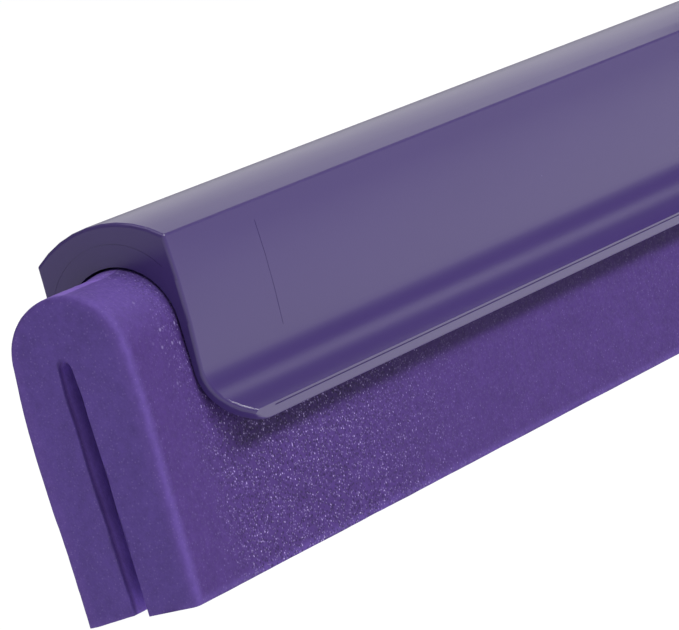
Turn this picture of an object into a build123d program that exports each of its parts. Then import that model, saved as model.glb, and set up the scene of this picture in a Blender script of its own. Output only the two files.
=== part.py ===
"""Double-blade floor squeegee head: a hooded foam cassette under a revolving handle neck.

Frame: X runs along the blade, Y across it, Z up. The origin is on the floor line, midway
between the two blade edges and directly below the neck's pivot. All sizes are in millimetres.
"""

from build123d import *
from math import cos, radians, sin, sqrt
import os

os.makedirs("parts", exist_ok=True)

# ---------------------------------------------------------------- driving dimensions
BLADE_LENGTH = 505.0
BLADE_OVERHANG = 13.75  # foam showing beyond each end of the hood
HOOD_LENGTH = BLADE_LENGTH - 2 * BLADE_OVERHANG
HOOD_HALF = HOOD_LENGTH / 2

# foam: one thick sheet folded to an inverted U
FOAM_HALF_WIDTH = 8.4
FOAM_TOP = 42.75
FOAM_SLIT = 2.2
FOAM_SLIT_TOP = 34.0
FOAM_RADIUS_CENTRE = FOAM_TOP - FOAM_HALF_WIDTH

# hood: thin walls, a domed roof, an arched tunnel and flared lips
TUNNEL_CLEARANCE = 0.35
TUNNEL_HALF_WIDTH = FOAM_HALF_WIDTH + TUNNEL_CLEARANCE
CREST_Y, CREST_Z = 10.2, 45.4
DOME_TOP = 48.8
DOME_R = (CREST_Y**2 + (DOME_TOP - CREST_Z) ** 2) / (2 * (DOME_TOP - CREST_Z))
CREST_FILLET = 0.4
WALL_MIDDLE_Y, WALL_MIDDLE_Z = 10.4, 36.5
WALL_FOOT_Y, WALL_FOOT_Z = 9.9, 27.9
LIP_Y, LIP_Z = 13.5, 20.45  # outermost edge of the flared lip
FLARE_FOOT_Y, FLARE_FOOT_Z = 13.1, 20.78
RIM_WIDTH, RIM_TILT = 2.3, 35.0  # the lip's cut face, which looks outwards and down
NOTCH_PLACE, NOTCH_DEPTH, NOTCH_HALF = 0.5, 0.12, 0.11  # line left by the mould's parting
INNER_LIP_Y = LIP_Y - RIM_WIDTH * sin(radians(RIM_TILT))
LIP_BOTTOM = LIP_Z - RIM_WIDTH * cos(radians(RIM_TILT))
INNER_FLARE_TOP = 27.0
END_CORNER_R = 9.0
END_ROUNDING = 0.5
PAST_END = 1.0  # how far a cut runs past the face it opens
CLOSE = 0.05  # margin when edges are picked by place or size

# ridges along the tunnel that nip the foam
RIDGE_Z = 30.0
RIDGE_HEIGHT = 0.65
RIDGE_HALF_WIDTH = 1.0
RIDGE_TIP_HALF = 0.3
RIDGE_ROOT = 0.2  # how deep a ridge is rooted in the wall
RIDGE_END_GAP = 8.0
GROOVE_CLEARANCE = 0.32

# hairlines left by the mould's end inserts
HAIRLINE = 0.1
HAIRLINE_DEPTH = 0.04
END_ARC_R, END_ARC_Z, END_ARC_LOW = 10.4, 35.75, 41.5
SIDE_LINE_FROM_END = 21.0
SIDE_LINE_LOW, SIDE_LINE_HIGH = 28.7, 42.9
SIDE_LINE_TRIM = 5.0  # half height of the pieces cut off the line's ends

# turret saddled on the hood, which carries the revolving neck
TURRET_R = 17.0
TURRET_TOP = 60.0
TURRET_FOOT_R, TURRET_FOOT_Z = 10.0, 27.0
TURRET_SHOULDER_Z = 37.0
TURRET_EDGE = 0.8
RIB_REACH = 58.0
RIB_THICKNESS = 4.0
RIB_FOOT_Z, RIB_TIP_Z, RIB_ROOT_Z = 44.0, 48.3, 57.0
BUSH_R = 8.0
BUSH_FLANGE_R = 11.3
BUSH_FLANGE_T = 1.5
BUSH_PROUD = 0.5
BUSH_CHAMFER = 0.25
BUSH_BOTTOM = 50.5
BUSH_TOP = TURRET_TOP + BUSH_PROUD
SCREW_WELL_R = 8.6
SEAL_R, SEAL_SECTION = 14.2, 0.9
SEAL_GROOVE_DEPTH, SEAL_ROOM = 1.4, 0.1
SEAL_LIFT = 0.02  # the ring clears the groove's floor by this

# neck: foot, spigot and leaning handle barrel
FACE_GAP = 0.02
FOOT_BOTTOM = BUSH_TOP + FACE_GAP
FOOT_R = TURRET_R
FOOT_T = 5.0
FOOT_STEP = 0.8
ELBOW_END = 24.0  # along the barrel's axis from the heel
SPIGOT_R = 6.0
BUSH_BORE_R = SPIGOT_R + 0.05
SPIGOT_BOTTOM = 50.2
NECK_LEAN = 30.0
NECK_HEEL_Z = 62.0  # where the barrel's axis meets the pivot axis
BARREL_R = 15.6
BORE_R = 12.1
BORE_DEPTH = 60.0
BORE_FLOOR = 22.0  # along the barrel's axis from the heel
BARREL_END = BORE_FLOOR + BORE_DEPTH
COLLAR_R = 17.4
COLLAR_LENGTH = 9.0
NECK_EDGE = 0.6
BOSS_ROOT = 1.0  # how far outside the bore the screw's boss starts
SCREW_BOSS_R = 5.2
SCREW_BOSS_X = 17.6
HANDLE_SCREW_T = BORE_FLOOR + 20.0
HANDLE_SCREW_R = 2.0
HANDLE_HEAD_R, HANDLE_HEAD_T = 3.9, 2.4
HANDLE_HEAD_EDGE = 1.4
CROSS_LENGTH, CROSS_WIDTH, CROSS_DEPTH = 3.8, 0.9, 1.4
HANDLE_SCREW_TIP_X = BORE_R + 0.6

# pivot fasteners, counted downwards from the spigot's end
INSERT_R = 4.2
INSERT_TOP = 62.5
THREAD_R = 3.0
THREAD_GAP = 0.05
WAVE_T = 0.26
WAVE_RIM_GAP, WAVE_HOLE_GAP = 0.3, 0.2
RETAINER_R, RETAINER_T = 8.2, 2.0
RETAINER_CHAMFER = 0.2
LOCK_R, LOCK_T = 5.4, 1.4
SPLIT_LENGTH, SPLIT_WIDTH, SPLIT_TURN = 4.0, 0.7, 20.0
WASHER_HOLE_R = 3.2
PIVOT_HEAD_R, PIVOT_HEAD_T = 5.25, 3.3
PIVOT_HEAD_EDGE, PIVOT_TIP_CHAMFER = 1.8, 0.5
HEXAGON_HALF, HEXAGON_DEPTH = 2.0, 2.0
PIVOT_SCREW_TOP = 61.5

# cassette hardware
SPINE_T = 2.0
SPINE_LOW, SPINE_HIGH = 21.0, 33.0
SPINE_END_GAP = 30.0
SPINE_LENGTH = BLADE_LENGTH - 2 * SPINE_END_GAP
SPINE_CORNER_R = 3.0
PIN_R = 1.0
PIN_CHAMFER = 0.2
PIN_Z = 26.0
PIN_HALF_LENGTH = 8.5
PIN_PITCH, PIN_COUNT = 90.0, 5


def save(part, name):
    """Label a finished piece and write its STEP file."""
    part.label = name
    export_step(part, f"parts/{name}.step")


def neck_plane(along):
    """Plane square to the handle barrel's axis, this far up it from the heel."""
    lean = radians(NECK_LEAN)
    axis = Vector(0, -sin(lean), cos(lean))
    return Plane(origin=Vector(0, 0, NECK_HEEL_Z) + axis * along, x_dir=(1, 0, 0), z_dir=axis)


def rim_point(along, deep=0.0):
    """Point of the lip's tilted cut face: this far down it, and this far below its surface."""
    lean = radians(RIM_TILT)
    return (
        LIP_Y - along * sin(lean) - deep * cos(lean),
        LIP_Z - along * cos(lean) + deep * sin(lean),
    )


def dome_point(y):
    """Point of the hood's domed roof this far from its middle line, as (Y, Z)."""
    return (y, DOME_TOP - DOME_R + sqrt(DOME_R**2 - y**2))


def barrel_point(along):
    """Point on the handle barrel's axis as (Y, Z)."""
    origin = neck_plane(along).origin
    return (origin.Y, origin.Z)


# ---------------------------------------------------------------- hood
# outside form, filled down to the lips; the turret is shaped to it too
with BuildPart() as hood_form:
    with BuildSketch(Plane.YZ) as outer:
        with BuildLine():
            ThreePointArc((0, DOME_TOP), dome_point(CREST_Y / 2), (CREST_Y, CREST_Z))
            wall = ThreePointArc(
                (CREST_Y, CREST_Z), (WALL_MIDDLE_Y, WALL_MIDDLE_Z), (WALL_FOOT_Y, WALL_FOOT_Z)
            )
            TangentArc(
                (WALL_FOOT_Y, WALL_FOOT_Z), (FLARE_FOOT_Y, FLARE_FOOT_Z), tangent=wall % 1
            )
            Polyline(
                (FLARE_FOOT_Y, FLARE_FOOT_Z), (LIP_Y, LIP_Z), rim_point(RIM_WIDTH), (0, LIP_BOTTOM)
            )
            mirror(about=Plane.YZ)
        make_face()
        fillet(outer.vertices().filter_by(lambda v: abs(v.Y - CREST_Z) < CLOSE), CREST_FILLET)
    extrude(amount=HOOD_HALF, both=True)

    # rounded lower corners at both ends
    with BuildSketch(Plane.XZ):
        for side in (-1, 1):
            with Locations((side * HOOD_HALF, LIP_BOTTOM)):
                Rectangle(2 * END_CORNER_R, 2 * END_CORNER_R)
        for side in (-1, 1):
            with Locations((side * (HOOD_HALF - END_CORNER_R), LIP_BOTTOM + END_CORNER_R)):
                Circle(END_CORNER_R, mode=Mode.SUBTRACT)
    extrude(amount=LIP_Y + PAST_END, both=True, mode=Mode.SUBTRACT)

    # soft edges round both ends, from the lips up over the dome
    end_edges = hood_form.edges().filter_by(
        lambda e: abs(e.center().X) > HOOD_HALF - END_CORNER_R + CLOSE
        and e.center().Z > LIP_BOTTOM
        and abs(e.center().Y) > CLOSE
    )
    fillet(end_edges, END_ROUNDING)

with BuildPart() as hood:
    add(hood_form.part)

    # fine line that the mould's parting leaves along each lip
    with BuildSketch(Plane.YZ):
        with BuildLine():
            Polyline(
                rim_point(NOTCH_PLACE - NOTCH_HALF, -NOTCH_DEPTH),
                rim_point(NOTCH_PLACE - NOTCH_HALF),
                rim_point(NOTCH_PLACE, NOTCH_DEPTH),
                rim_point(NOTCH_PLACE + NOTCH_HALF),
                rim_point(NOTCH_PLACE + NOTCH_HALF, -NOTCH_DEPTH),
                close=True,
            )
        make_face()
        mirror(about=Plane.YZ)
    extrude(amount=HOOD_HALF - END_CORNER_R, both=True, mode=Mode.SUBTRACT)

    # tunnel for the foam, with the inner side of the flared lips
    with BuildSketch(Plane.YZ):
        with BuildLine():
            ThreePointArc(
                (0, FOAM_RADIUS_CENTRE + TUNNEL_HALF_WIDTH),
                (
                    TUNNEL_HALF_WIDTH * sin(radians(45)),
                    FOAM_RADIUS_CENTRE + TUNNEL_HALF_WIDTH * cos(radians(45)),
                ),
                (TUNNEL_HALF_WIDTH, FOAM_RADIUS_CENTRE),
            )
            Line((TUNNEL_HALF_WIDTH, FOAM_RADIUS_CENTRE), (TUNNEL_HALF_WIDTH, INNER_FLARE_TOP))
            TangentArc(
                (TUNNEL_HALF_WIDTH, INNER_FLARE_TOP), (INNER_LIP_Y, LIP_BOTTOM), tangent=(0, -1)
            )
            Polyline(
                (INNER_LIP_Y, LIP_BOTTOM),
                (INNER_LIP_Y, LIP_BOTTOM - PAST_END),
                (0, LIP_BOTTOM - PAST_END),
            )
            mirror(about=Plane.YZ)
        make_face()
    extrude(amount=HOOD_HALF + PAST_END, both=True, mode=Mode.SUBTRACT)

    # ridges that nip the foam, short of both ends
    with BuildSketch(Plane.YZ):
        with BuildLine():
            Polyline(
                (TUNNEL_HALF_WIDTH + RIDGE_ROOT, RIDGE_Z - RIDGE_HALF_WIDTH),
                (TUNNEL_HALF_WIDTH, RIDGE_Z - RIDGE_HALF_WIDTH),
                (TUNNEL_HALF_WIDTH - RIDGE_HEIGHT, RIDGE_Z - RIDGE_TIP_HALF),
                (TUNNEL_HALF_WIDTH - RIDGE_HEIGHT, RIDGE_Z + RIDGE_TIP_HALF),
                (TUNNEL_HALF_WIDTH, RIDGE_Z + RIDGE_HALF_WIDTH),
                (TUNNEL_HALF_WIDTH + RIDGE_ROOT, RIDGE_Z + RIDGE_HALF_WIDTH),
                close=True,
            )
        make_face()
        mirror(about=Plane.YZ)
    extrude(amount=HOOD_HALF - RIDGE_END_GAP, both=True)

    # hole in the roof for the pivot screw
    with BuildSketch(Plane.XY.offset(FOAM_RADIUS_CENTRE)):
        Circle(SCREW_WELL_R)
    extrude(amount=BUSH_BOTTOM - FOAM_RADIUS_CENTRE, mode=Mode.SUBTRACT)

    # hairlines of the mould's end inserts: an arc on each end face, a line down each wall
    for side in (-1, 1):
        with BuildSketch(Plane.YZ.offset(side * HOOD_HALF)):
            with Locations((0, END_ARC_Z)):
                Circle(END_ARC_R + HAIRLINE / 2)
                Circle(END_ARC_R - HAIRLINE / 2, mode=Mode.SUBTRACT)
            with Locations((0, END_ARC_LOW - END_ARC_R)):
                Rectangle(4 * END_ARC_R, 2 * END_ARC_R, mode=Mode.SUBTRACT)
        extrude(amount=-side * HAIRLINE_DEPTH, mode=Mode.SUBTRACT)
    for end in (-1, 1):
        with BuildSketch(Plane.YZ.offset(end * (HOOD_HALF - SIDE_LINE_FROM_END))):
            with BuildLine():
                wall_line = ThreePointArc(
                    (CREST_Y, CREST_Z), (WALL_MIDDLE_Y, WALL_MIDDLE_Z), (WALL_FOOT_Y, WALL_FOOT_Z)
                )
                offset(wall_line, HAIRLINE_DEPTH, side=Side.BOTH, mode=Mode.REPLACE)
            make_face()
            with Locations((0, SIDE_LINE_HIGH + SIDE_LINE_TRIM), (0, SIDE_LINE_LOW - SIDE_LINE_TRIM)):
                Rectangle(4 * CREST_Y, 2 * SIDE_LINE_TRIM, mode=Mode.SUBTRACT)
            mirror(about=Plane.YZ)
        extrude(amount=HAIRLINE, mode=Mode.SUBTRACT)
save(hood.part, "hood")

# ---------------------------------------------------------------- turret, saddled on the hood
with BuildPart() as turret:
    # drum, with a tapered foot that blends into the side walls
    with BuildSketch(Plane.XY.offset(TURRET_SHOULDER_Z)):
        Circle(TURRET_R)
    extrude(amount=TURRET_TOP - TURRET_SHOULDER_Z)
    with BuildSketch(Plane.XY.offset(TURRET_FOOT_Z)):
        Circle(TURRET_FOOT_R)
    with BuildSketch(Plane.XY.offset(TURRET_SHOULDER_Z)):
        Circle(TURRET_R)
    loft()

    # ribs that run out along the roof
    with BuildSketch(Plane.XZ):
        with BuildLine():
            Polyline(
                (0, RIB_FOOT_Z),
                (0, RIB_ROOT_Z),
                (TURRET_R, RIB_ROOT_Z),
                (RIB_REACH, RIB_TIP_Z),
                (RIB_REACH, RIB_FOOT_Z),
                close=True,
            )
        make_face()
        mirror(about=Plane.YZ)
    extrude(amount=RIB_THICKNESS / 2, both=True)
    add(hood_form.part, mode=Mode.SUBTRACT)

    # well for the pivot screw, seats for the bush and its flange, groove for the seal
    with BuildSketch(Plane.XY.offset(FOAM_RADIUS_CENTRE)):
        Circle(SCREW_WELL_R)
    extrude(amount=BUSH_BOTTOM - FOAM_RADIUS_CENTRE, mode=Mode.SUBTRACT)
    with BuildSketch(Plane.XY.offset(BUSH_BOTTOM)):
        Circle(BUSH_R)
    extrude(amount=TURRET_TOP - BUSH_BOTTOM, mode=Mode.SUBTRACT)
    with BuildSketch(Plane.XY.offset(TURRET_TOP)):
        Circle(BUSH_FLANGE_R)
    extrude(amount=-(BUSH_FLANGE_T - BUSH_PROUD), mode=Mode.SUBTRACT)
    with BuildSketch(Plane.XY.offset(TURRET_TOP)):
        Circle(SEAL_R + SEAL_SECTION + SEAL_ROOM)
        Circle(SEAL_R - SEAL_SECTION - SEAL_ROOM, mode=Mode.SUBTRACT)
    extrude(amount=-SEAL_GROOVE_DEPTH, mode=Mode.SUBTRACT)
    rim = turret.edges().filter_by(GeomType.CIRCLE).group_by(Axis.Z)[-1].sort_by(SortBy.RADIUS)[-1]
    fillet(rim, TURRET_EDGE)
save(turret.part, "turret")

# ---------------------------------------------------------------- pivot bush and seal
with BuildPart() as pivot_bush:
    with BuildSketch(Plane.XY.offset(BUSH_BOTTOM)):
        Circle(BUSH_R)
    extrude(amount=BUSH_TOP - BUSH_BOTTOM)
    with BuildSketch(Plane.XY.offset(BUSH_TOP)):
        Circle(BUSH_FLANGE_R)
    extrude(amount=-BUSH_FLANGE_T)
    with BuildSketch(Plane.XY.offset(BUSH_BOTTOM)):
        Circle(BUSH_BORE_R)
    extrude(amount=BUSH_TOP - BUSH_BOTTOM, mode=Mode.SUBTRACT)
    chamfer(pivot_bush.edges().filter_by(GeomType.CIRCLE).group_by(Axis.Z)[-1], BUSH_CHAMFER)
save(pivot_bush.part, "pivot_bush")

with BuildPart() as seal_ring:
    with BuildSketch(Plane.XZ):
        with Locations((SEAL_R, TURRET_TOP - SEAL_GROOVE_DEPTH + SEAL_SECTION + SEAL_LIFT)):
            Circle(SEAL_SECTION)
    revolve(axis=Axis.Z)
save(seal_ring.part, "seal_ring")

# ---------------------------------------------------------------- foam cassette
with BuildPart() as foam_blade:
    with BuildSketch(Plane.YZ):
        with Locations((0, FOAM_RADIUS_CENTRE)):
            Circle(FOAM_HALF_WIDTH)
        with Locations((0, FOAM_RADIUS_CENTRE / 2)):
            Rectangle(2 * FOAM_HALF_WIDTH, FOAM_RADIUS_CENTRE)
        # slit with a round head, where the two blades part
        with Locations((0, FOAM_SLIT_TOP - FOAM_SLIT / 2)):
            Circle(FOAM_SLIT / 2, mode=Mode.SUBTRACT)
        with Locations((0, (FOAM_SLIT_TOP - FOAM_SLIT / 2) / 2)):
            Rectangle(FOAM_SLIT, FOAM_SLIT_TOP - FOAM_SLIT / 2, mode=Mode.SUBTRACT)
        # creases that the hood's ridges press into the foam
        for side in (-1, 1):
            with Locations((side * FOAM_HALF_WIDTH, RIDGE_Z)):
                Rectangle(
                    2 * (FOAM_HALF_WIDTH - TUNNEL_HALF_WIDTH + RIDGE_HEIGHT + GROOVE_CLEARANCE),
                    2 * (RIDGE_HALF_WIDTH + GROOVE_CLEARANCE),
                    mode=Mode.SUBTRACT,
                )
    extrude(amount=BLADE_LENGTH / 2, both=True)
    with BuildSketch(Plane.XZ):
        with Locations((0, PIN_Z)):
            with GridLocations(PIN_PITCH, 1, PIN_COUNT, 1):
                Circle(PIN_R)
    extrude(amount=FOAM_HALF_WIDTH + PAST_END, both=True, mode=Mode.SUBTRACT)
save(foam_blade.part, "foam_blade")

with BuildPart() as spine_strip:
    with BuildSketch(Plane.XZ):
        with Locations((0, (SPINE_LOW + SPINE_HIGH) / 2)):
            RectangleRounded(SPINE_LENGTH, SPINE_HIGH - SPINE_LOW, SPINE_CORNER_R)
        with Locations((0, PIN_Z)):
            with GridLocations(PIN_PITCH, 1, PIN_COUNT, 1):
                Circle(PIN_R, mode=Mode.SUBTRACT)
    extrude(amount=SPINE_T / 2, both=True)
save(spine_strip.part, "spine_strip")

with BuildPart() as spine_pins:
    with BuildSketch(Plane.XZ):
        with Locations((0, PIN_Z)):
            with GridLocations(PIN_PITCH, 1, PIN_COUNT, 1):
                Circle(PIN_R)
    extrude(amount=PIN_HALF_LENGTH, both=True)
    chamfer(spine_pins.edges().filter_by(GeomType.CIRCLE), PIN_CHAMFER)
save(spine_pins.part, "spine_pins")

# ---------------------------------------------------------------- neck
with BuildPart() as neck:
    # foot, elbow, leaning barrel and the collar at its mouth
    with BuildSketch(Plane.XY.offset(FOOT_BOTTOM)):
        Circle(FOOT_R)
    extrude(amount=FOOT_T)
    with BuildSketch(Plane.XY.offset(FOOT_BOTTOM + FOOT_T)):
        Circle(FOOT_R - FOOT_STEP)
    with BuildSketch(neck_plane(ELBOW_END)):
        Circle(BARREL_R)
    loft()
    with BuildSketch(neck_plane(ELBOW_END)):
        Circle(BARREL_R)
    extrude(amount=BARREL_END - ELBOW_END)
    with BuildSketch(neck_plane(BARREL_END)):
        Circle(COLLAR_R)
    extrude(amount=-COLLAR_LENGTH)
    round_edges = neck.edges().filter_by(GeomType.CIRCLE).filter_by(
        lambda e: abs(e.radius - COLLAR_R) < CLOSE or abs(e.radius - FOOT_R) < CLOSE
    )
    fillet(round_edges, NECK_EDGE)
    # boss for the handle screw
    with BuildSketch(Plane.YZ.offset(BORE_R + BOSS_ROOT)):
        with Locations(barrel_point(HANDLE_SCREW_T)):
            Circle(SCREW_BOSS_R)
    extrude(amount=SCREW_BOSS_X - BORE_R - BOSS_ROOT)
    # spigot that turns in the bush
    with BuildSketch(Plane.XY.offset(SPIGOT_BOTTOM)):
        Circle(SPIGOT_R)
    extrude(amount=FOOT_BOTTOM + PAST_END - SPIGOT_BOTTOM)
    # handle bore, thread insert's hole, handle screw's hole
    with BuildSketch(neck_plane(BORE_FLOOR)):
        Circle(BORE_R)
    extrude(amount=BORE_DEPTH + PAST_END, mode=Mode.SUBTRACT)
    with BuildSketch(Plane.XY.offset(SPIGOT_BOTTOM)):
        Circle(INSERT_R)
    extrude(amount=INSERT_TOP - SPIGOT_BOTTOM, mode=Mode.SUBTRACT)
    with BuildSketch(Plane.YZ):
        with Locations(barrel_point(HANDLE_SCREW_T)):
            Circle(HANDLE_SCREW_R + THREAD_GAP)
    extrude(amount=SCREW_BOSS_X + PAST_END, mode=Mode.SUBTRACT)
save(neck.part, "neck")

# ---------------------------------------------------------------- pivot fasteners
RETAINER_TOP = SPIGOT_BOTTOM
LOCK_TOP = RETAINER_TOP - RETAINER_T
HEAD_TOP = LOCK_TOP - LOCK_T

with BuildPart() as thread_insert:
    with BuildSketch(Plane.XY.offset(SPIGOT_BOTTOM)):
        Circle(INSERT_R)
        Circle(THREAD_R, mode=Mode.SUBTRACT)
    extrude(amount=INSERT_TOP - SPIGOT_BOTTOM)
save(thread_insert.part, "thread_insert")

with BuildPart() as wave_washer:
    with BuildSketch(Plane.XY.offset(RETAINER_TOP + FACE_GAP)):
        Circle(RETAINER_R - WAVE_RIM_GAP)
        Circle(SPIGOT_R + WAVE_HOLE_GAP, mode=Mode.SUBTRACT)
    extrude(amount=WAVE_T)
save(wave_washer.part, "wave_washer")

with BuildPart() as retaining_washer:
    with BuildSketch(Plane.XY.offset(RETAINER_TOP)):
        Circle(RETAINER_R)
        Circle(WASHER_HOLE_R, mode=Mode.SUBTRACT)
    extrude(amount=-RETAINER_T)
    chamfer(retaining_washer.edges().filter_by(GeomType.CIRCLE).group_by(Axis.Z)[0], RETAINER_CHAMFER)
save(retaining_washer.part, "retaining_washer")

with BuildPart() as lock_washer:
    with BuildSketch(Plane.XY.offset(LOCK_TOP)):
        Circle(LOCK_R)
        Circle(WASHER_HOLE_R, mode=Mode.SUBTRACT)
        # the split that makes it a spring
        with Locations(Location((LOCK_R - SPLIT_LENGTH / 4, 0), SPLIT_TURN)):
            Rectangle(SPLIT_LENGTH, SPLIT_WIDTH, mode=Mode.SUBTRACT)
    extrude(amount=-LOCK_T)
save(lock_washer.part, "lock_washer")

with BuildPart() as pivot_screw:
    with BuildSketch(Plane.XY.offset(HEAD_TOP)):
        Circle(PIVOT_HEAD_R)
    extrude(amount=-PIVOT_HEAD_T)
    fillet(pivot_screw.edges().filter_by(GeomType.CIRCLE).group_by(Axis.Z)[0], PIVOT_HEAD_EDGE)
    with BuildSketch(Plane.XY.offset(HEAD_TOP)):
        Circle(THREAD_R - THREAD_GAP)
    extrude(amount=PIVOT_SCREW_TOP - HEAD_TOP)
    chamfer(pivot_screw.edges().filter_by(GeomType.CIRCLE).group_by(Axis.Z)[-1], PIVOT_TIP_CHAMFER)
    # hexagon socket
    with BuildSketch(Plane.XY.offset(HEAD_TOP - PIVOT_HEAD_T)):
        RegularPolygon(HEXAGON_HALF, 6, major_radius=False)
    extrude(amount=HEXAGON_DEPTH, mode=Mode.SUBTRACT)
save(pivot_screw.part, "pivot_screw")

# ---------------------------------------------------------------- handle screw
screw_y, screw_z = barrel_point(HANDLE_SCREW_T)
with BuildPart() as handle_screw:
    with BuildSketch(Plane.YZ.offset(SCREW_BOSS_X)):
        with Locations((screw_y, screw_z)):
            Circle(HANDLE_HEAD_R)
    extrude(amount=HANDLE_HEAD_T)
    fillet(handle_screw.edges().filter_by(GeomType.CIRCLE).group_by(Axis.X)[-1], HANDLE_HEAD_EDGE)
    with BuildSketch(Plane.YZ.offset(SCREW_BOSS_X)):
        with Locations((screw_y, screw_z)):
            Circle(HANDLE_SCREW_R)
    extrude(amount=HANDLE_SCREW_TIP_X - SCREW_BOSS_X)
    # cross recess
    with BuildSketch(Plane.YZ.offset(SCREW_BOSS_X + HANDLE_HEAD_T)):
        with Locations((screw_y, screw_z)):
            Rectangle(CROSS_LENGTH, CROSS_WIDTH)
            Rectangle(CROSS_WIDTH, CROSS_LENGTH)
    extrude(amount=-CROSS_DEPTH, mode=Mode.SUBTRACT)
save(handle_screw.part, "handle_screw")
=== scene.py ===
"""Looks for the squeegee head: satin moulded hood, cellular foam cassette, revolving neck."""

import math

import bmesh
import bpy
import numpy as np
from mathutils import Matrix, Vector


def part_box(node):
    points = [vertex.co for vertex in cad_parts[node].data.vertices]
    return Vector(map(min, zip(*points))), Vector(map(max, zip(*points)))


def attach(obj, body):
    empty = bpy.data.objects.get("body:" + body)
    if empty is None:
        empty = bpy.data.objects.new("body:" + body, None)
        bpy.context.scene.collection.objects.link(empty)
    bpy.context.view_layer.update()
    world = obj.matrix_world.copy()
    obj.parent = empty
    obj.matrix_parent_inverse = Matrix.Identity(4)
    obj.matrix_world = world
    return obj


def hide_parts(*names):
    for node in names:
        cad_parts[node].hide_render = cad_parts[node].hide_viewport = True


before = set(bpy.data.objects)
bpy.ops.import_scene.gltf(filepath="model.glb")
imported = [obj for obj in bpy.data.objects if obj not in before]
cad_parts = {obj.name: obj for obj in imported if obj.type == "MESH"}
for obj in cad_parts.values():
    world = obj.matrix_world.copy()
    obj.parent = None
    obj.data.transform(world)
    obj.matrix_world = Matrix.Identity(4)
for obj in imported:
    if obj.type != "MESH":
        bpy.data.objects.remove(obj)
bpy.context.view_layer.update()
scene = bpy.context.scene
MM = 0.001

# ---------------------------------------------------------------- places taken from the frame
HOOD_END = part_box("hood")[0].x
foam_low, foam_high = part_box("foam_blade")
FOAM_END = foam_low.x
FOAM_TOP = foam_high.z
FOAM_HALF = foam_high.y
FOLD_Z = FOAM_TOP - FOAM_HALF  # height where the straight blades turn into the fold
SLIT_SHIFT = 0.3 * MM, 0.65 * MM  # the slit's offset towards the far side, at its foot and top


# ---------------------------------------------------------------- camera
CAMERA_AZIMUTH, CAMERA_ELEVATION, CAMERA_ROLL = -57.38, 4.865, 16.61  # degrees
CAMERA_PLACE = (HOOD_END - 495.4 * MM, -349.3 * MM, 80.3 * MM)
LENS, SENSOR = 251.14, 36.0  # mm
CLIP_START, CLIP_END = 0.01, 200.0


def make_camera():
    """A long lens, low and close to the hood's near end, rolled a little to its right."""
    azimuth, elevation = math.radians(CAMERA_AZIMUTH), math.radians(CAMERA_ELEVATION)
    roll = math.radians(CAMERA_ROLL)
    back = Vector((
        math.sin(azimuth) * math.cos(elevation),
        -math.cos(azimuth) * math.cos(elevation),
        math.sin(elevation),
    ))
    turn = (-back).to_track_quat("-Z", "Y").to_matrix() @ Matrix.Rotation(-roll, 3, "Z")
    data = bpy.data.cameras.new("camera")
    data.sensor_width = SENSOR
    data.lens = LENS
    data.clip_start, data.clip_end = CLIP_START, CLIP_END
    data.dof.use_dof = False
    camera = bpy.data.objects.new("camera", data)
    camera.rotation_mode = "QUATERNION"
    camera.rotation_quaternion = turn.to_quaternion()
    camera.location = CAMERA_PLACE
    scene.collection.objects.link(camera)
    scene.camera = camera


make_camera()


# ---------------------------------------------------------------- stage and light
FLOOR_REACH = 80.0
FLOOR_GLOW, FLOOR_TINT = 0.99, 0.08  # mostly glow, which keeps the white free of grey patches
ROOM_SIDE = (-0.8, 0.0, 0.6)  # the room is brightest behind the camera and overhead
ROOM_FADE = -0.45, 0.95  # how far towards that side the room starts and stops brightening
ROOM_DARK, ROOM_BRIGHT = 0.06, 0.28
ROOM_COLOUR = (0.98, 0.99, 1, 1)


def make_room():
    """Dim surroundings, darkest beyond the far end and brightest behind the camera."""
    world = bpy.data.worlds.new("studio")
    scene.world = world
    world.use_nodes = True
    tree = world.node_tree
    background = tree.nodes["Background"]
    direction = tree.nodes.new("ShaderNodeTexCoord")
    facing = tree.nodes.new("ShaderNodeVectorMath")
    facing.operation = "DOT_PRODUCT"
    facing.inputs[1].default_value = ROOM_SIDE
    tree.links.new(direction.outputs["Generated"], facing.inputs[0])
    level = tree.nodes.new("ShaderNodeMapRange")
    level.interpolation_type = "SMOOTHSTEP"
    level.inputs["From Min"].default_value, level.inputs["From Max"].default_value = ROOM_FADE
    level.inputs["To Min"].default_value = ROOM_DARK
    level.inputs["To Max"].default_value = ROOM_BRIGHT
    tree.links.new(facing.outputs["Value"], level.inputs["Value"])
    background.inputs["Color"].default_value = ROOM_COLOUR
    tree.links.new(level.outputs["Result"], background.inputs["Strength"])


def make_floor():
    """A plain white floor out to the horizon."""
    mesh = bpy.data.meshes.new("floor")
    r = FLOOR_REACH
    mesh.from_pydata([(-r, -r, 0), (r, -r, 0), (r, r, 0), (-r, r, 0)], [], [(0, 1, 2, 3)])
    floor = bpy.data.objects.new("floor", mesh)
    scene.collection.objects.link(floor)
    material = bpy.data.materials.new("floor_paper")
    material.use_nodes = True
    shader = material.node_tree.nodes["Principled BSDF"]
    shader.inputs["Base Color"].default_value = (FLOOR_TINT, FLOOR_TINT, FLOOR_TINT, 1)
    shader.inputs["Roughness"].default_value = 1.0
    shader.inputs["Specular IOR Level"].default_value = 0.0
    shader.inputs["Emission Color"].default_value = (1, 1, 1, 1)
    shader.inputs["Emission Strength"].default_value = FLOOR_GLOW
    mesh.materials.append(material)


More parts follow.
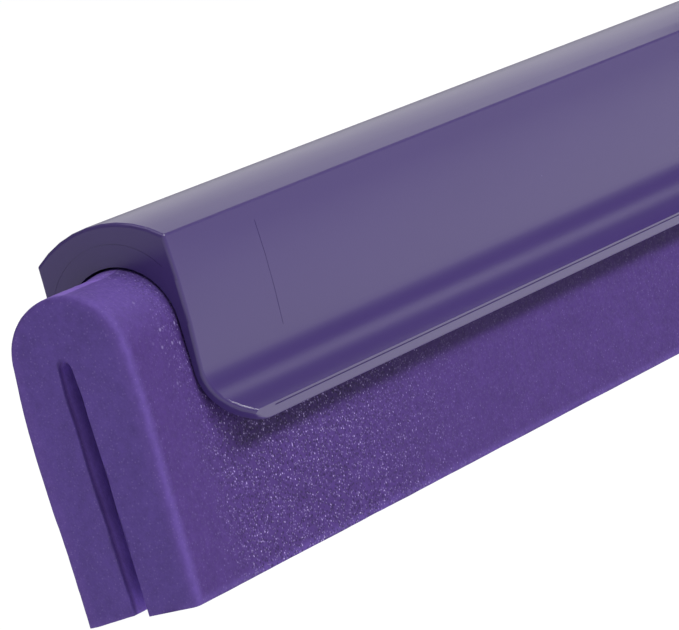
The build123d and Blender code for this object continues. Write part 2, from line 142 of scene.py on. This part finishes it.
def softbox(name, azimuth, elevation, distance, size, radiance):
    """Area light that faces the hood's near end; azimuth is from +X towards +Y, in degrees."""
    azimuth, elevation = math.radians(azimuth), math.radians(elevation)
    direction = Vector((
        math.cos(elevation) * math.cos(azimuth),
        math.cos(elevation) * math.sin(azimuth),
        math.sin(elevation),
    ))
    data = bpy.data.lights.new(name, "AREA")
    data.shape = "RECTANGLE"
    data.size, data.size_y = size
    data.energy = radiance * math.pi * size[0] * size[1]
    light = bpy.data.objects.new(name, data)
    light.location = Vector((HOOD_END, 0, 0)) + direction * distance
    light.rotation_mode = "QUATERNION"
    light.rotation_quaternion = (-direction).to_track_quat("-Z", "Y")
    light.visible_camera = False
    scene.collection.objects.link(light)


make_room()
make_floor()
softbox("softbox_front", azimuth=-75, elevation=42, distance=2.0, size=(1.6, 0.45), radiance=12.0)
softbox("softbox_far_end", azimuth=23, elevation=25, distance=4.0, size=(2.8, 2.3), radiance=0.9)
softbox("softbox_top", azimuth=180, elevation=86, distance=2.0, size=(1.1, 1.1), radiance=1.8)
softbox("softbox_lip", azimuth=-25, elevation=22, distance=4.0, size=(0.9, 0.6), radiance=1.6)
scene.view_settings.view_transform = "Standard"


# ---------------------------------------------------------------- material building blocks
IOR = 1.5
SPOT_CORE = 0.4  # share of a spot's radius that is fully covered
MIX_A, MIX_B, MIX_RESULT = 6, 7, 2  # the Mix node's colour sockets


def srgb(*rgb):
    """Linear colour from 0 to 255 screen values."""
    def channel(v):
        v /= 255
        return v / 12.92 if v <= 0.04045 else ((v + 0.055) / 1.055) ** 2.4
    return (*[channel(v) for v in rgb], 1)


class Look:
    """A material under construction: small procedural steps that end in one Principled shader."""

    def __init__(self, name, specular=0.5, metallic=0.0):
        self.material = bpy.data.materials.new(name)
        self.material.use_nodes = True
        self.tree = self.material.node_tree
        self.shader = self.tree.nodes["Principled BSDF"]
        self.shader.inputs["Specular IOR Level"].default_value = specular
        self.shader.inputs["Metallic"].default_value = metallic
        self.shader.inputs["IOR"].default_value = IOR
        self.place = self.add("ShaderNodeTexCoord").outputs["Object"]

    def add(self, kind, **settings):
        node = self.tree.nodes.new(kind)
        for name, value in settings.items():
            setattr(node, name, value)
        return node

    def feed(self, socket, value):
        """Link a socket, or set a plain value."""
        if isinstance(value, bpy.types.NodeSocket):
            self.tree.links.new(value, socket)
        else:
            socket.default_value = value

    def math(self, operation, a, b=0.0):
        node = self.add("ShaderNodeMath", operation=operation)
        self.feed(node.inputs[0], a)
        self.feed(node.inputs[1], b)
        return node.outputs[0]

    def both(self, a, b):
        """Product of two masks."""
        return self.math("MULTIPLY", a, b)

    def axis(self, letter, vector=None):
        node = self.add("ShaderNodeSeparateXYZ")
        self.feed(node.inputs[0], vector or self.place)
        return node.outputs[letter]

    def remap(self, value, low, high, to_low=0.0, to_high=1.0, smooth=False):
        """Run from to_low to to_high while the value runs from low to high, and hold beyond."""
        node = self.add("ShaderNodeMapRange")
        node.interpolation_type = "SMOOTHSTEP" if smooth else "LINEAR"
        for name, number in (
            ("From Min", low), ("From Max", high), ("To Min", to_low), ("To Max", to_high)
        ):
            node.inputs[name].default_value = number
        self.feed(node.inputs["Value"], value)
        return node.outputs["Result"]

    def stretched(self, scale):
        node = self.add("ShaderNodeMapping")
        self.feed(node.inputs["Vector"], self.place)
        node.inputs["Scale"].default_value = scale
        return node.outputs["Vector"]

    def cloud(self, grain, detail=2.0, vector=None):
        """Noise from 0 to 1 whose blotches are about this many metres across."""
        node = self.add("ShaderNodeTexNoise")
        self.feed(node.inputs["Vector"], vector or self.place)
        node.inputs["Scale"].default_value = 1 / grain
        node.inputs["Detail"].default_value = detail
        return node.outputs["Fac"]

    def cells(self, grain):
        node = self.add("ShaderNodeTexVoronoi")
        self.feed(node.inputs["Vector"], self.place)
        node.inputs["Scale"].default_value = 1 / grain
        return node

    def dots(self, grain, radius, share):
        """Round spots in this share of the cells, as a mask; the radius is in cell widths."""
        node = self.cells(grain)
        round_spot = self.remap(node.outputs["Distance"], radius, radius * SPOT_CORE)
        chosen = self.math("LESS_THAN", self.axis("X", node.outputs["Color"]), share)
        return self.both(round_spot, chosen)

    def mix(self, factor, a, b):
        node = self.add("ShaderNodeMix", data_type="RGBA")
        self.feed(node.inputs["Factor"], factor)
        self.feed(node.inputs[MIX_A], a)
        self.feed(node.inputs[MIX_B], b)
        return node.outputs[MIX_RESULT]

    def shade(self, colour, factor, low, high):
        """Multiply a colour by a grey that runs from low to high with the factor."""
        node = self.add("ShaderNodeMix", data_type="RGBA", blend_type="MULTIPLY")
        node.inputs["Factor"].default_value = 1.0
        self.feed(node.inputs[MIX_A], colour)
        self.feed(node.inputs[MIX_B], self.mix(factor, (low, low, low, 1), (high, high, high, 1)))
        return node.outputs[MIX_RESULT]

    def bump(self, height, depth, strength=1.0, below=None):
        node = self.add("ShaderNodeBump")
        node.inputs["Strength"].default_value = strength
        node.inputs["Distance"].default_value = depth
        self.feed(node.inputs["Height"], height)
        if below:
            self.feed(node.inputs["Normal"], below)
        return node.outputs["Normal"]

    def finish(self, colour, roughness, normal):
        self.feed(self.shader.inputs["Base Color"], colour)
        self.feed(self.shader.inputs["Roughness"], roughness)
        self.feed(self.shader.inputs["Normal"], normal)
        return self.material


def paint(material, *nodes):
    for node in nodes:
        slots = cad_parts[node].data.materials
        slots.clear()
        slots.append(material)


# ---------------------------------------------------------------- moulded plastics
PURPLE, PURPLE_SPECK = srgb(70, 53, 114), srgb(122, 110, 160)
ACETAL, ACETAL_SPECK = srgb(236, 234, 226), srgb(214, 210, 200)
NATURAL, NATURAL_SPECK = srgb(232, 231, 228), srgb(206, 206, 206)
FLOW_GRAIN, FLOW_STRETCH, FLOW_TONES = 22 * MM, (0.35, 1, 1), (0.93, 1.07)  # drawn out along the blade
SPARK_GRAIN, SPARK_TONES, SPARK_DEPTH, SPARK_BUMP = 0.3 * MM, (0.97, 1.03), 0.012 * MM, 0.6
SHEEN_GRAIN, SHEEN_STRETCH = 4 * MM, (0.2, 1, 1)
SHEEN_RANGE = 0.02  # how much the roughness wanders either way
SPECKS = 5.5 * MM, 0.028, 0.22  # grain, radius and share of the cells
SPECK_STRENGTH, SPECK_DEPTH, SPECK_BUMP = 0.6, 0.03 * MM, 0.7


def moulded_plastic(name, colour, speck_colour, roughness=0.29):
    """Satin injection moulding: faint flow clouds, a fine spark grain and a few stray specks."""
    look = Look(name, specular=0.5)
    flow = look.cloud(FLOW_GRAIN, detail=3, vector=look.stretched(FLOW_STRETCH))
    base = look.shade(colour, flow, *FLOW_TONES)
    grain = look.cloud(SPARK_GRAIN, detail=3)
    base = look.shade(base, grain, *SPARK_TONES)
    specks = look.dots(*SPECKS)
    base = look.mix(look.both(specks, SPECK_STRENGTH), base, speck_colour)
    sheen = look.cloud(SHEEN_GRAIN, detail=2, vector=look.stretched(SHEEN_STRETCH))
    gloss = look.remap(sheen, 0.0, 1.0, roughness - SHEEN_RANGE, roughness + SHEEN_RANGE)
    normal = look.bump(grain, SPARK_DEPTH, SPARK_BUMP)
    normal = look.bump(specks, SPECK_DEPTH, SPECK_BUMP, below=normal)
    return look.finish(base, gloss, normal)


# ---------------------------------------------------------------- hardware
STEEL = (0.62, 0.62, 0.63, 1)
AROUND_PIVOT, ACROSS = (1, 1, 6), (1, 6, 1)  # which way the polishing marks are packed closest
MARK_GRAIN, MARK_DEPTH, MARK_BUMP, MARK_GLOSS = 0.25 * MM, 0.01 * MM, 0.6, (0.2, 0.36)
STAIN_GRAIN, STAIN_TONES = 3 * MM, (0.88, 1.06)
BRASS, TARNISHED_BRASS = (0.72, 0.52, 0.22, 1), (0.55, 0.38, 0.16, 1)
TARNISH_GRAIN, TARNISH_GLOSS = 1.2 * MM, (0.25, 0.42)
KNURL_PITCH, KNURL_DEPTH = 0.6 * MM, 0.08 * MM
RUBBER, DUSTY_RUBBER = (0.014, 0.014, 0.015, 1), (0.05, 0.05, 0.052, 1)
DUST_GRAIN, DUST_GLOSS, DUST_DEPTH = 0.9 * MM, (0.5, 0.7), 0.02 * MM
DUST_PATCHES = 0.5, 0.8  # levels of the dust noise between which the patches fade in
WIDE_SPAN, SPAN = (0.25, 0.75), (0.3, 0.7)  # noise levels that are spread over the whole range


def steel(name, stretch):
    """Fine turned or drawn stainless, with stretched polishing marks and light stains."""
    look = Look(name, metallic=1.0)
    marks = look.cloud(MARK_GRAIN, detail=3, vector=look.stretched(stretch))
    stains = look.cloud(STAIN_GRAIN, detail=3)
    base = look.shade(STEEL, stains, *STAIN_TONES)
    gloss = look.remap(marks, *WIDE_SPAN, *MARK_GLOSS)
    return look.finish(base, gloss, look.bump(marks, MARK_DEPTH, MARK_BUMP))


def knurled_brass():
    look = Look("insert_brass", metallic=1.0)
    tarnish = look.cloud(TARNISH_GRAIN, detail=4)
    base = look.mix(tarnish, BRASS, TARNISHED_BRASS)
    knurl = look.cells(KNURL_PITCH).outputs["Distance"]
    gloss = look.remap(tarnish, *SPAN, *TARNISH_GLOSS)
    return look.finish(base, gloss, look.bump(knurl, KNURL_DEPTH))


def black_rubber():
    look = Look("seal_rubber", specular=0.35)
    dust = look.cloud(DUST_GRAIN, detail=4)
    base = look.mix(look.remap(dust, *DUST_PATCHES), RUBBER, DUSTY_RUBBER)
    gloss = look.remap(dust, *SPAN, *DUST_GLOSS)
    return look.finish(base, gloss, look.bump(dust, DUST_DEPTH))


# ---------------------------------------------------------------- foam rubber
FOAM_SKIN, FOAM_FOLD = srgb(77, 52, 123), srgb(99, 75, 153)
# the paler edge colour on the next line is a painted highlight for the foam's rounded ends and wiping
# edges
FOAM_FACE, FOAM_EDGE_HIGHLIGHT = srgb(93, 71, 148), srgb(99, 75, 154)
# the paler slit colour is painted light on the slit's walls
FOAM_SLIT_LIGHT = srgb(134, 104, 196)
# both colours on the next line are painted highlights: sharp glints and blurred glints
FOAM_GLINT, FOAM_BLURRED_GLINT = srgb(192, 174, 236), srgb(150, 136, 190)

# Each pair of places runs from where a mask is 0 to where it is 1.
FOLD_FADE = 33 * MM, 41 * MM  # heights
FACE_FADE = 0.7 * MM, 0.1 * MM  # from the foam's end
# painted highlight along the rounded outer edges of the cut ends, and along the wiping edges
END_EDGE_FADE, END_EDGE_DEPTH = (2.4 * MM, 0.4 * MM), (2.0 * MM, 0.6 * MM)  # from the end, into the foam
SKIN_SLACK = 0.3 * MM  # the bulging skin lies about this far outside the fold's radius
WIPING_EDGE_FADE, WIPING_EDGE_SHARE = (1.4 * MM, 0.2 * MM), 0.7  # heights
# painted light in the slit: by distance from the slit's middle, and from the end
SLIT_FADE, SLIT_START = (2.2 * MM, 1.9 * MM), (0.4 * MM, 1.2 * MM)  # from its middle, from the end
# painted shadow under the hood's lips: heights and reach of the darker band
LIP_FOOT, LIP_TOP = (15.2 * MM, 16.8 * MM), (21.0 * MM, 18.6 * MM)  # heights
LIP_START, LIP_SHADE = (16 * MM, 22 * MM), 0.62  # from the end
# where the painted blurred glints near the hood fade in
BLURRED_GLINT_START, BLURRED_GLINT_RISE = (5 * MM, 10 * MM), (22 * MM, 34 * MM)  # from the end, heights
CRISP_START, CRISP_AT_END = (6 * MM, 18 * MM), 0.12  # from the end
CRISP_STOP, CRISP_BEYOND = (85 * MM, 36 * MM), 0.18

# Spots are given by grain, radius in cell widths, and share of the cells.
PORES, PORE_SHADE = (0.4 * MM, 0.6, 0.6), 0.5
GLINTS, GLINT_STRENGTH = (0.34 * MM, 0.42, 0.5), 0.38
BRIGHT_SPOTS = 0.5 * MM, 0.3, 0.2
# larger soft spots: painted blurred glints
BLURRED_GLINTS = 1.2 * MM, 0.26, 0.5
BLOTCH_GRAIN, BLOTCH_TONES = 4.5 * MM, (0.86, 1.14)
MOTTLE_GRAIN, MOTTLE_TONES = 1.1 * MM, (0.8, 1.2)
CELL_GRAIN, CELL_DEPTH, CELL_BUMP = 0.36 * MM, 0.06 * MM, 0.45
FINE_GRAIN, FINE_DEPTH, FINE_BUMP, FINE_GLOSS = 0.5 * MM, 0.07 * MM, 0.5, (0.62, 0.82)


def foam_zones(look, y, z, from_end):
    """Broad colours: skin, fold, cut face, painted highlights on the edges, painted light in the slit
    and painted shadow under the lips.
    """
    rise = look.math("MAXIMUM", look.math("SUBTRACT", z, FOLD_Z), 0.0)
    out = look.math("SQRT", look.math("ADD", look.both(y, y), look.both(rise, rise)))
    depth = look.math("SUBTRACT", FOAM_HALF + SKIN_SLACK, out)
    painted_end_edge_light = look.both(
        look.remap(from_end, *END_EDGE_FADE, smooth=True),
        look.remap(depth, *END_EDGE_DEPTH, smooth=True),
    )
    painted_wiping_edge_light = look.remap(z, *WIPING_EDGE_FADE, to_high=WIPING_EDGE_SHARE, smooth=True)
    off_slit = look.math("ABSOLUTE", look.math("SUBTRACT", y, SLIT_SHIFT[0]))
    painted_slit_light = look.both(look.remap(off_slit, *SLIT_FADE), look.remap(from_end, *SLIT_START))
    painted_lip_shadow = look.both(  # painted shadow where the lips overhang the skin
        look.both(
            look.remap(z, *LIP_FOOT, smooth=True), look.remap(z, *LIP_TOP, smooth=True)
        ),
        look.remap(from_end, *LIP_START, smooth=True),
    )
    base = look.mix(look.remap(z, *FOLD_FADE, smooth=True), FOAM_SKIN, FOAM_FOLD)
    base = look.mix(look.remap(from_end, *FACE_FADE, smooth=True), base, FOAM_FACE)
    # painted highlight on the rounded end edges and the bottom wiping edges
    base = look.mix(look.math("MAXIMUM", painted_end_edge_light, painted_wiping_edge_light), base, FOAM_EDGE_HIGHLIGHT)
    # painted light on the slit's walls
    base = look.mix(painted_slit_light, base, FOAM_SLIT_LIGHT)
    # darken the colour by the painted shadow under the lips
    return look.shade(base, painted_lip_shadow, 1.0, LIP_SHADE)


def foam_cells(look, base, z, from_end):
    """Painted shade in the pores and painted glints on the cells, clearest a little way in from the end,
    and painted blurred glints near the hood.
    """
    base = look.shade(base, look.cloud(BLOTCH_GRAIN, detail=3), *BLOTCH_TONES)
    base = look.shade(base, look.cloud(MOTTLE_GRAIN, detail=3), *MOTTLE_TONES)
    crisp = look.both(
        look.remap(from_end, *CRISP_START, to_low=CRISP_AT_END, smooth=True),
        look.remap(from_end, *CRISP_STOP, to_low=CRISP_BEYOND, smooth=True),
    )
    # painted shade in the pores' pits
    base = look.shade(base, look.both(look.dots(*PORES), crisp), 1.0, PORE_SHADE)
    # painted glints: pale dots mixed into the colour where cells would catch the light
    glints = look.both(look.dots(*GLINTS), crisp)
    bright = look.both(look.dots(*BRIGHT_SPOTS), crisp)
    glow = look.math("MAXIMUM", look.both(glints, GLINT_STRENGTH), bright)
    base = look.mix(glow, base, FOAM_GLINT)
    # painted blurred glints near the hood's mouth, where the foam faces the front lamp
    painted_glints_by_hood = look.both(
        look.remap(from_end, *BLURRED_GLINT_START, smooth=True), look.remap(z, *BLURRED_GLINT_RISE, smooth=True)
    )
    return look.mix(look.both(look.dots(*BLURRED_GLINTS), painted_glints_by_hood), base, FOAM_BLURRED_GLINT)


def foam_rubber():
    """Fine closed-cell foam: darker flat skin, paler fold, painted edge highlights and painted glints on
    the cells.
    """
    look = Look("foam", specular=0.22)
    x, y, z = (look.axis(letter) for letter in "XYZ")
    from_end = look.math("SUBTRACT", -FOAM_END, look.math("ABSOLUTE", x))
    base = foam_cells(look, foam_zones(look, y, z, from_end), z, from_end)
    fine = look.cloud(FINE_GRAIN, detail=2)
    normal = look.bump(look.cells(CELL_GRAIN).outputs["Distance"], CELL_DEPTH, CELL_BUMP)
    normal = look.bump(fine, FINE_DEPTH, FINE_BUMP, below=normal)
    return look.finish(base, look.remap(fine, *SPAN, *FINE_GLOSS), normal)


paint(moulded_plastic("hood_plastic", PURPLE, PURPLE_SPECK), "hood", "turret")
paint(moulded_plastic("neck_plastic", PURPLE, PURPLE_SPECK, roughness=0.34), "neck")
paint(moulded_plastic("bush_plastic", ACETAL, ACETAL_SPECK, roughness=0.38), "pivot_bush")
paint(moulded_plastic("spine_plastic", NATURAL, NATURAL_SPECK, roughness=0.45), "spine_strip")
paint(steel("screw_steel", AROUND_PIVOT), "pivot_screw", "handle_screw")
paint(steel("washer_steel", AROUND_PIVOT), "retaining_washer", "lock_washer", "wave_washer")
paint(steel("pin_steel", ACROSS), "spine_pins")
paint(knurled_brass(), "thread_insert")
paint(black_rubber(), "seal_ring")


# ---------------------------------------------------------------- foam blade
NOISE_SIDE, NOISE_SEED = 64, 7
NOISE_TABLE = np.random.default_rng(NOISE_SEED).random((NOISE_SIDE,) * 3) * 2 - 1


def ease(t):
    """Smooth step: 0 up to 0, 1 from 1 on."""
    t = np.clip(t, 0, 1)
    return t * t * (3 - 2 * t)


def noise(points, cell):
    """Smooth noise from -1 to 1 at points in metres; cell is its grain in metres."""
    p = points / cell
    base = np.floor(p).astype(int)
    f = ease(p - base)
    total = np.zeros(len(p))
    for i in (0, 1):
        for j in (0, 1):
            for k in (0, 1):
                corner = (base + (i, j, k)) % NOISE_SIDE
                weight = (
                    np.where(i, f[:, 0], 1 - f[:, 0])
                    * np.where(j, f[:, 1], 1 - f[:, 1])
                    * np.where(k, f[:, 2], 1 - f[:, 2])
                )
                total += weight * NOISE_TABLE[corner[:, 0], corner[:, 1], corner[:, 2]]
    return total


SLIT_TOP = 34.0 * MM
FAR_BLADE_LIFT = 0.5 * MM  # the far blade is cut at a slant, highest at the slit
END_SOFTNESS = 0.8 * MM  # rounding of the cut ends' outer edges
FOLD_SAG = 0.45 * MM  # how far the fold settles where the hood doesn't hold it
MOUTH_REACH = 3 * MM  # how far outside the hood its squeeze can still be felt
SQUEEZE_LENGTH = 4 * MM  # the squeeze builds up over this length
SQUEEZE_FOOT, SQUEEZE_RISE = 17 * MM, 8 * MM  # and over this height, from the lips up
FREE_WIDTH = (  # height and half width of the foam where nothing squeezes it, in mm
    (0.0, 8.42), (5.0, 8.5), (12.0, 8.66), (20.0, 8.9), (26.0, 9.05), (31.0, 9.0), (34.35, 8.85),
)
FAR_SPREAD = (  # height and how much further the far blade bulges, in mm
    (0.0, 0.5), (15.0, 0.5), (22.0, 0.4), (28.0, 0.15), (34.35, -0.1),
)
SLIT_WIDTH = (  # height and half width of the slit, in mm
    (0.0, 1.1), (12.0, 1.15), (18.0, 1.3), (30.0, 1.25), (33.0, 1.05), (34.35, 1.0),
)
CREASE_Z, CREASE_DEPTH = 30.0 * MM, 0.64 * MM  # grooves that the hood's ridges press into the skin
CREASE_HALF, CREASE_SLOPE = 1.3 * MM, 0.7 * MM
CREASE_GAP = 4 * MM  # from the hood's end to where a groove starts
BLADE_STEPS, FOLD_STEPS = 46, 34  # mesh steps down one blade and round the fold
SKIN_STEPS = 12  # across the thickness
SOFT_STEPS = 6  # over the rounding of a cut end
FINE_REACH = 62 * MM  # length at each end that gets the dense mesh
FINE_STEP, COARSE_STEP = 0.55 * MM, 2.2 * MM
WELD = 0.01 * MM  # points of the six sides this close together are one
SHARP_ANGLE, EDGE_BEVEL, BEVEL_PROFILE = math.radians(50), 0.28 * MM, 0.6
FLOOR_GAP = 0.02 * MM  # the ruffled wiping edges stay this far off the floor
RUFFLES = ((0.07 * MM, 9 * MM), (0.04 * MM, 2.6 * MM), (0.02 * MM, 1.1 * MM))  # depth and grain


def foam_stations():
    """Places along X: close together at the ends, further apart in the middle."""
    soft = END_SOFTNESS * (1 - np.cos(np.linspace(0, math.pi / 2, SOFT_STEPS, endpoint=False)))
    fine = np.concatenate([soft, np.arange(END_SOFTNESS, FINE_REACH, FINE_STEP)])
    middle = np.arange(FOAM_END + FINE_REACH, -FOAM_END - FINE_REACH, COARSE_STEP)
    return np.concatenate([FOAM_END + fine, middle, -(FOAM_END + fine)[::-1]])


def held(x):
    """How firmly the hood holds the foam: 0 outside it, 1 inside it."""
    return ease((MOUTH_REACH - HOOD_END - np.abs(x)) / SQUEEZE_LENGTH)


def end_inset(x):
    """How far the outer skin draws in where a cut end is rounded."""
    from_end = np.clip((-FOAM_END - np.abs(x)) / END_SOFTNESS, 0, 1)
    return END_SOFTNESS * (1 - np.sqrt(1 - (1 - from_end) ** 2))


def half_width(x, z, spread):
    """Half width over the outer skin; spread is 1 on the far blade and 0 on the near one."""
    free_z, free_w = np.array(FREE_WIDTH).T * MM
    spread_z, spread_w = np.array(FAR_SPREAD).T * MM
    loose = np.interp(z, free_z, free_w) + spread * np.interp(z, spread_z, spread_w)
    covered = held(x) * np.clip((z - SQUEEZE_FOOT) / SQUEEZE_RISE, 0, 1)
    groove = np.clip((CREASE_HALF + CREASE_SLOPE - np.abs(z - CREASE_Z)) / CREASE_SLOPE, 0, 1)
    nipped = np.clip((-HOOD_END - CREASE_GAP - np.abs(x)) / SQUEEZE_LENGTH, 0, 1)
    return loose + (FOAM_HALF - loose) * covered - end_inset(x) - CREASE_DEPTH * groove * nipped


def foam_point(along, skin, x):
    """Point of the folded sheet: along it from the far edge, across it, and along X."""
    arc = math.pi * FOAM_HALF
    s = along * (2 * FOLD_Z + arc)
    near = s > FOLD_Z + arc
    far = s < FOLD_Z
    turning = ~near & ~far
    side = np.where(far, 1, -1)
    angle = np.clip((s - FOLD_Z) / arc, 0, 1) * math.pi
    low = np.where(far, FAR_BLADE_LIFT * skin, 0.0)
    height = np.where(far, s, 2 * FOLD_Z + arc - s) / FOLD_Z

    blade_z = low + height * (FOLD_Z - low)
    blade_y = side * half_width(x, blade_z, np.where(far, 1, 0))
    fold_y = half_width(x, np.full_like(x, FOLD_Z), (1 + np.cos(angle)) / 2) * np.cos(angle)
    fold_r = FOAM_HALF - FOLD_SAG * (1 - held(x)) - end_inset(x)
    outer_y = np.where(turning, fold_y, blade_y)
    outer_z = np.where(turning, FOLD_Z + fold_r * np.sin(angle), blade_z)

    slit_z, slit_w = np.array(SLIT_WIDTH).T * MM
    top_half = SLIT_WIDTH[-1][1] * MM
    slit_turn = SLIT_TOP - top_half
    inner_z = np.where(turning, slit_turn + top_half * np.sin(angle), low + height * (slit_turn - low))
    half = np.where(turning, top_half, np.interp(inner_z, slit_z, slit_w))
    shift = np.interp(inner_z, (0, SLIT_TOP), SLIT_SHIFT)
    inner_y = shift + half * np.where(turning, np.cos(angle), side)

    y = outer_y + (inner_y - outer_y) * skin
    z = outer_z + (inner_z - outer_z) * skin
    return np.stack([x, y, z], 1)


def grid_patch(rows, columns):
    """Faces of a rows by columns grid of vertices."""
    r, c = np.meshgrid(np.arange(rows - 1), np.arange(columns - 1), indexing="ij")
    first = (r * columns + c).ravel()
    return np.stack([first, first + 1, first + columns + 1, first + columns], 1)


def foam_sides():
    """(along, skin, x, flip) grids of the foam's six sides; flip turns one to face outwards."""
    xs = foam_stations()
    arc = math.pi * FOAM_HALF
    along = np.concatenate([
        np.linspace(0, FOLD_Z, BLADE_STEPS, endpoint=False),
        np.linspace(0, arc, FOLD_STEPS, endpoint=False) + FOLD_Z,
        np.linspace(0, FOLD_Z, BLADE_STEPS + 1) + FOLD_Z + arc,
    ])
    along /= along[-1]
    skins = np.linspace(0, 1, SKIN_STEPS + 1)
    for skin, flip in ((0.0, False), (1.0, True)):
        a, x = np.meshgrid(along, xs, indexing="ij")
        yield a, np.full_like(a, skin), x, flip
    for x, flip in ((xs[0], True), (xs[-1], False)):
        a, k = np.meshgrid(along, skins, indexing="ij")
        yield a, k, np.full_like(a, x), flip
    for a, flip in ((0.0, True), (1.0, False)):
        k, x = np.meshgrid(skins, xs, indexing="ij")
        yield np.full_like(k, a), k, x, flip


def build_foam():
    """The double blade: its six sides welded together, with softened edges."""
    points, faces, start = [], [], 0
    for a, k, x, flip in foam_sides():
        points.append(foam_point(a.ravel(), k.ravel(), x.ravel()))
        patch = grid_patch(*a.shape) + start
        faces.append(patch[:, ::-1] if flip else patch)
        start += a.size
    mesh = bpy.data.meshes.new("foam")
    mesh.from_pydata(np.concatenate(points).tolist(), [], np.concatenate(faces).tolist())
    mesh.update()
    shape = bmesh.new()
    shape.from_mesh(mesh)
    bmesh.ops.remove_doubles(shape, verts=shape.verts, dist=WELD)
    bmesh.ops.recalc_face_normals(shape, faces=shape.faces)
    sharp = [e for e in shape.edges if e.is_manifold and e.calc_face_angle() > SHARP_ANGLE]
    bmesh.ops.bevel(
        shape, geom=sharp, offset=EDGE_BEVEL, segments=2, profile=BEVEL_PROFILE,
        affect="EDGES", clamp_overlap=True,
    )
    shape.to_mesh(mesh)
    shape.free()
    mesh.shade_smooth()
    foam = bpy.data.objects.new("foam_double_blade", mesh)
    scene.collection.objects.link(foam)
    return foam


def ruffle(piece):
    """Slight unevenness of a cut and folded foam sheet, pushed along the surface's normals."""
    mesh = piece.data
    count = len(mesh.vertices)
    points, normals = np.empty(count * 3), np.empty(count * 3)
    mesh.vertices.foreach_get("co", points)
    mesh.vertices.foreach_get("normal", normals)
    points, normals = points.reshape(-1, 3), normals.reshape(-1, 3)
    push = sum(depth * noise(points, grain) for depth, grain in RUFFLES)
    points += normals * push[:, None]
    points[:, 2] = np.maximum(points[:, 2], FLOOR_GAP)
    mesh.vertices.foreach_set("co", points.ravel())
    mesh.update()


foam = build_foam()
ruffle(foam)
foam.data.materials.append(foam_rubber())
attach(foam, "cassette")
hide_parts("foam_blade")
